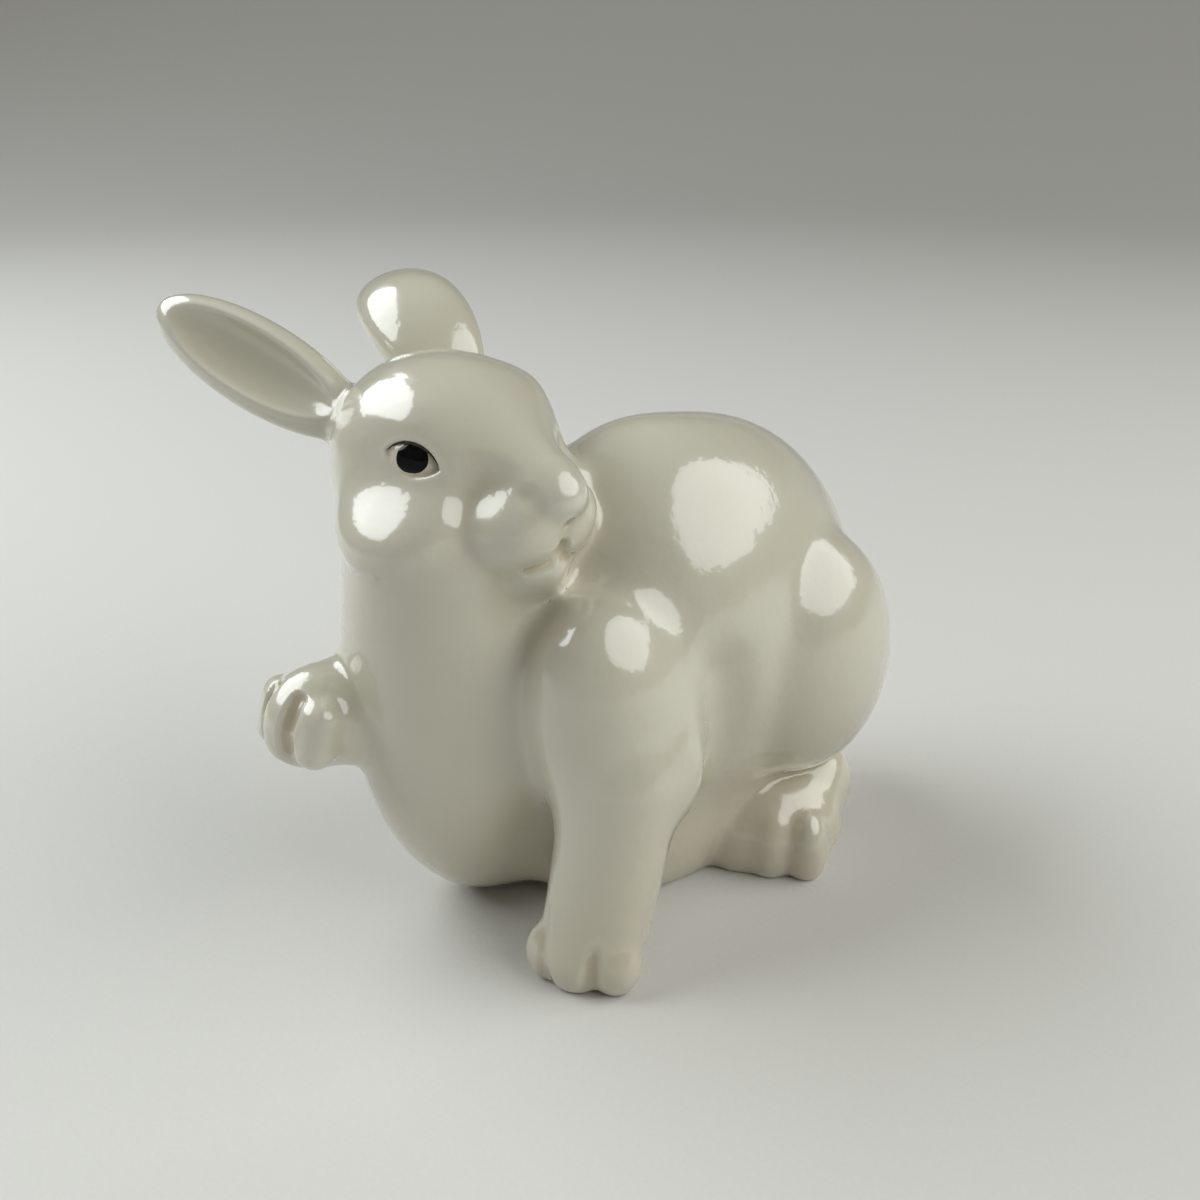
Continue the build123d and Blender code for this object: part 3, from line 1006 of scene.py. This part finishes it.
class Value:
    """A shader value on which Python's operators add Math nodes."""

    def __init__(self, shader: "Shader", socket: bpy.types.NodeSocket) -> None:
        """Wrap an output socket of a shader."""
        self.shader = shader
        self.socket = socket

    def math(self, operation: str, *values: Any) -> "Value":
        """Return the result of a Math node on some values."""
        node = self.shader.node("ShaderNodeMath", {"operation": operation}, dict(enumerate(values)))
        return Value(self.shader, node.outputs[0])

    def __add__(self, other: Any) -> "Value":
        """Return self + other."""
        return self.math("ADD", self, other)

    __radd__ = __add__

    def __sub__(self, other: Any) -> "Value":
        """Return self - other."""
        return self.math("SUBTRACT", self, other)

    def __rsub__(self, other: Any) -> "Value":
        """Return other - self."""
        return self.math("SUBTRACT", other, self)

    def __mul__(self, other: Any) -> "Value":
        """Return self * other."""
        return self.math("MULTIPLY", self, other)

    __rmul__ = __mul__

    def between(self, low: float, high: float) -> "Value":
        """Return a smooth rise from 0 at one value to 1 at another."""
        settings = {"interpolation_type": "SMOOTHSTEP"}
        inputs = {"Value": self, "From Min": low, "From Max": high}
        return Value(self.shader, self.shader.node("ShaderNodeMapRange", settings, inputs).outputs[0])


class Shader:
    """The node tree of one material."""

    def __init__(self, name: str) -> None:
        """Make an empty material."""
        self.material = bpy.data.materials.new(name)
        self.material.use_nodes = True
        self.tree = self.material.node_tree
        self.tree.nodes.clear()

    def node(self, kind: str, settings: dict[str, Any], inputs: dict[Any, Any]) -> bpy.types.Node:
        """Add a node.

        Args:
            kind: the node's type.
            settings: its own settings, set first.
            inputs: values or links for its sockets, by name or number.

        Returns:
            The new node.
        """
        node = self.tree.nodes.new(kind)
        for key, value in settings.items():
            setattr(node, key, value)
        for key, value in inputs.items():
            if isinstance(value, Value):
                value = value.socket
            if isinstance(value, bpy.types.NodeSocket):
                self.tree.links.new(value, node.inputs[key])
            else:
                node.inputs[key].default_value = value
        return node

    def value(self, kind: str, settings: dict[str, Any], inputs: dict[Any, Any], output: Any = 0) -> Value:
        """Return one output of a new node as a value."""
        return Value(self, self.node(kind, settings, inputs).outputs[output])

    def noise(self, size: float, detail: float = 2.0) -> Value:
        """Return noise whose lumps have about a given size in millimetres, fixed to the piece."""
        place = self.node("ShaderNodeTexCoord", {}, {}).outputs["Object"]
        inputs = {"Vector": place, "Scale": 1 / (size * MM), "Detail": detail}
        return self.value("ShaderNodeTexNoise", {}, inputs)

    def blend(self, share: Any, first: Any, second: Any) -> bpy.types.NodeSocket:
        """Return a colour between two colours."""
        node = self.node("ShaderNodeMix", {"data_type": "RGBA"}, {0: share, 6: first, 7: second})
        return node.outputs[2]

    def surface(self, inputs: dict[str, Any]) -> bpy.types.Material:
        """Finish the material with a Principled surface and return it."""
        surface = self.node("ShaderNodeBsdfPrincipled", {}, inputs)
        self.node("ShaderNodeOutputMaterial", {}, {"Surface": surface.outputs[0]})
        return self.material


@dataclass(frozen=True)
class WhiteGlaze:
    """Ivory porcelain under a clear gloss glaze that pools in hollows, with painted shade that darkens the hollows
    and darkens it towards the floor. The foot face is bare clay.
    """

    slot: str = "white_glaze"
    ivory: Colour = (0.595, 0.565, 0.46, 1.0)
    thin: Colour = (0.645, 0.62, 0.53, 1.0)
    # dark warm colour for pooled glaze and for painted shade, in hollows and towards the floor
    pooled_and_shaded: Colour = (0.45, 0.385, 0.26, 1.0)
    clay: Colour = (0.80, 0.77, 0.71, 1.0)
    cloud_size: float = 24.0
    peel_size: float = 5.0
    ripple_size: float = 1.6
    grain_size: float = 0.5

    def material(self) -> bpy.types.Material:
        """Return the glaze as a material."""
        shader = Shader(self.slot)
        bend = shader.value("ShaderNodeAttribute", {"attribute_name": "hollow"}, {}, "Fac")
        clouds = shader.noise(self.cloud_size, 3.0)
        # hollows are darkened towards the dark warm colour: partly glaze pooling, partly painted shade where shade
        # falls in them
        pool_and_shade = (bend + clouds * 0.10 - 0.05).between(0.02, 0.75)
        edge = (0 - bend).between(0.10, 0.60)
        body = shader.blend((clouds * 0.6 + edge * 0.6).between(0.1, 0.9), self.ivory, self.thin)
        body = shader.blend(pool_and_shade * 0.65, body, self.pooled_and_shaded)
        place = shader.node("ShaderNodeNewGeometry", {}, {}).outputs["Position"]
        height = shader.value("ShaderNodeSeparateXYZ", {}, {0: place}, "Z")
        bare = 1 - height.between(0.05 * MM, 0.35 * MM)
        # painted shade: the body is darkened towards the floor over its lowest 45 mm
        body = shader.blend((1 - height.between(0, 45 * MM)) * 0.35, body, self.pooled_and_shaded)
        grain = shader.noise(self.grain_size, 4.0)
        peel = shader.noise(self.peel_size, 1.0)
        ripple = shader.noise(self.ripple_size, 1.0)
        relief = peel * 0.9 + ripple * 0.3 + bare * grain * 0.8
        bump = shader.node("ShaderNodeBump", {}, {"Strength": 0.45, "Distance": 0.4 * MM, "Height": relief})
        return shader.surface({
            "Base Color": shader.blend(bare, body, self.clay),
            "Roughness": 0.035 + clouds * 0.03 + bare * 0.5,
            "IOR": 1.55,
            "Coat Weight": 1 - bare,
            "Coat Roughness": 0.2,
            "Coat IOR": 1.5,
            "Normal": bump.outputs[0],
        })


@dataclass(frozen=True)
class Enamel:
    """Brushed overglaze enamel, slightly streaked and glossy."""

    slot: str
    dark: Colour
    light: Colour
    streak_size: float = 0.8
    roughness: float = 0.06

    def material(self) -> bpy.types.Material:
        """Return the enamel as a material."""
        shader = Shader(self.slot)
        streaks = shader.noise(self.streak_size, 3.0)
        relief = shader.node("ShaderNodeBump", {}, {"Strength": 0.05, "Distance": 0.1 * MM, "Height": streaks})
        return shader.surface({
            "Base Color": shader.blend(streaks.between(0.35, 0.75), self.dark, self.light),
            "Roughness": self.roughness + streaks * 0.06,
            "IOR": 1.35,
            "Coat Weight": 0.0,
            "Normal": relief.outputs[0],
        })


@dataclass(frozen=True)
class PaleFloor:
    """A plain pale floor with a fine grain."""

    pale: Colour = (0.67, 0.66, 0.64, 1.0)
    warm: Colour = (0.64, 0.625, 0.60, 1.0)
    grain_size: float = 1.0

    def material(self) -> bpy.types.Material:
        """Return the floor's material."""
        shader = Shader("pale_floor")
        grain = shader.noise(self.grain_size, 2.0)
        bump = shader.node("ShaderNodeBump", {}, {"Strength": 0.12, "Distance": 0.3 * MM, "Height": grain})
        return shader.surface({
            "Base Color": shader.blend(grain, self.pale, self.warm),
            "Roughness": 0.75,
            "Normal": bump.outputs[0],
        })


@dataclass(frozen=True)
class Lamp:
    """A soft rectangular lamp that faces the figure, in millimetres and watts."""

    name: str
    azimuth: float
    elevation: float
    distance: float
    width: float
    height: float
    power: float
    colour: Triple = (1.0, 1.0, 1.0)


@dataclass(frozen=True)
class Studio:
    """A round pale floor that rises at its rim, soft lamps, even world light and the camera."""

    floor_radius: float = 900.0
    rim_radius: float = 700.0
    spokes: int = 96
    world: Colour = (0.95, 0.87, 0.74, 1.0)
    world_strength: float = 0.08
    lamps: tuple[Lamp, ...] = (
        Lamp("key_lamp", 122, 36, 900, 1280, 880, 7.2, (0.98, 1.0, 0.97)),
        Lamp("window_lamp", -58, 42, 900, 1120, 660, 8.4, (0.95, 1.0, 1.0)),
    )
    azimuth: float = 47.0
    elevation: float = 24.0
    lens: float = 42.0
    distance: float = 290.3
    aside: float = 6.1
    rise: float = -3.8

    def middle(self) -> Array:
        """Return the middle of the CAD box, in millimetres."""
        return (np.array(CAD_BOX[0]) + np.array(CAD_BOX[1])) / (2 * MM)

    def axes(self, azimuth: float, elevation: float) -> tuple[Array, Array, Array]:
        """Return the right, up and backward axes of something that looks at the figure from an angle."""
        a, e = math.radians(azimuth), math.radians(elevation)
        back = np.array((math.sin(a) * math.cos(e), -math.cos(a) * math.cos(e), math.sin(e)))
        right = np.array((math.cos(a), math.sin(a), 0.0))
        return right, np.cross(back, right), back

    def floor(self) -> bpy.types.Object:
        """Make the floor, flat under the figure and curved up at its rim."""
        radii = [60, 160, 400, 650, self.floor_radius]
        profile = [(radius, 0.0) for radius in radii]
        for angle in np.radians(np.linspace(6, 72, 12)):
            out, rise = self.rim_radius * np.sin(angle), self.rim_radius * (1 - np.cos(angle))
            profile.append((self.floor_radius + out, rise))
        points = [(0.0, 0.0, 0.0)]
        for radius, height in profile:
            for spoke in range(self.spokes):
                angle = 2 * np.pi * spoke / self.spokes
                points.append((radius * np.cos(angle), radius * np.sin(angle), height))
        faces: list[tuple[int, ...]] = []
        for spoke in range(self.spokes):
            after = (spoke + 1) % self.spokes
            faces.append((0, 1 + spoke, 1 + after))
            for ring in range(len(profile) - 1):
                a, b = 1 + ring * self.spokes, 1 + (ring + 1) * self.spokes
                faces.append((a + spoke, b + spoke, b + after, a + after))
        floor = mesh_object("floor", np.array(points), faces)
        floor.data.materials.append(PaleFloor().material())
        return floor

    def light(self) -> None:
        """Hang the lamps and set the world's even light."""
        for lamp in self.lamps:
            _, _, back = self.axes(lamp.azimuth, lamp.elevation)
            data = bpy.data.lights.new(lamp.name, "AREA")
            data.shape = "ELLIPSE"
            data.size, data.size_y = lamp.width * MM, lamp.height * MM
            data.energy = lamp.power
            data.color = lamp.colour
            item = bpy.data.objects.new(lamp.name, data)
            item.location = (self.middle() + back * lamp.distance) * MM
            item.rotation_mode = "QUATERNION"
            item.rotation_quaternion = Vector(-back).to_track_quat("-Z", "Y")
            bpy.context.scene.collection.objects.link(item)
        world = bpy.data.worlds.new("even_light")
        world.use_nodes = True
        background = world.node_tree.nodes["Background"]
        background.inputs["Color"].default_value = self.world
        background.inputs["Strength"].default_value = self.world_strength
        bpy.context.scene.world = world

    def camera(self) -> None:
        """Place the camera at the photograph's angle."""
        right, up, back = self.axes(self.azimuth, self.elevation)
        data = bpy.data.cameras.new("camera")
        data.lens = self.lens
        data.sensor_width = 36.0
        data.clip_start, data.clip_end = 0.01, 20.0
        item = bpy.data.objects.new("camera", data)
        item.location = (self.middle() + back * self.distance + right * self.aside + up * self.rise) * MM
        item.rotation_mode = "QUATERNION"
        item.rotation_quaternion = Vector(-back).to_track_quat("-Z", "Y")
        bpy.context.scene.collection.objects.link(item)
        bpy.context.scene.camera = item


def keep(piece: bpy.types.Object, node: Node, material: bpy.types.Material) -> None:
    """Dress a piece, let it stand for its node and report it.

    Args:
        piece: the finished piece.
        node: the CAD node that it replaces.
        material: the finish.
    """
    piece.data.materials.append(material)
    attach(piece, BODY)
    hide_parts(node.name)
    LOG.info("%s: %d points, %d faces", piece.name, len(piece.data.vertices), len(piece.data.polygons))


def assembled() -> tuple[Rabbit, Head]:
    """Return the rabbit's castings, each placed by its CAD node, and the head among them."""
    torso = Torso(Node.read("torso"))
    head = Head(Node.read("head"), torso)
    right_ear = Ear(Node.read("right_ear"), head)
    left_ear = Ear(
        Node.read("left_ear"), head, root=(0.88, 0.10, 0.27), tip=(0.06, 0.80, 0.85), faces=(-0.26, 0.32, -0.90),
        half_width=10.5, half_thick=6.4, hollow_depth=5.6, bow=5.5,
    )
    legs = [StandingForeleg(Node.read("left_foreleg"), torso), RaisedForeleg(Node.read("right_foreleg"), torso)]
    feet = [HindFoot(Node.read(f"{side.name.lower()}_hind_foot"), torso, side=side) for side in Side]
    tail = Tail(Node.read("tail"), torso)
    return Rabbit([torso, head, right_ear, left_ear, *legs, *feet, tail]), head


def main() -> None:
    """Build and dress every piece, then set up the studio."""
    logging.basicConfig(level=logging.INFO, format="%(name)s %(message)s")
    rabbit, head = assembled()
    glaze = WhiteGlaze()
    white = glaze.material()
    for casting in rabbit.castings:
        keep(Skin(rabbit, casting).build(), casting.node, white)
    black = Enamel("black_enamel", (0.003, 0.003, 0.004, 1.0), (0.006, 0.007, 0.009, 1.0))
    brown = Enamel("brown_enamel", (0.030, 0.020, 0.017, 1.0), (0.075, 0.050, 0.040, 1.0), roughness=0.18)
    black_finish, brown_finish = black.material(), brown.material()
    for eye in head.eyes:
        enamel = EyeEnamel(eye)
        keep(enamel.pupil(), eye.pupil_node, black_finish)
        keep(enamel.lid_line(), eye.lid_node, brown_finish)
    studio = Studio()
    studio.floor()
    studio.light()
    studio.camera()
    bpy.context.scene.view_settings.view_transform = "Standard"


if __name__ == "__main__":
    main()
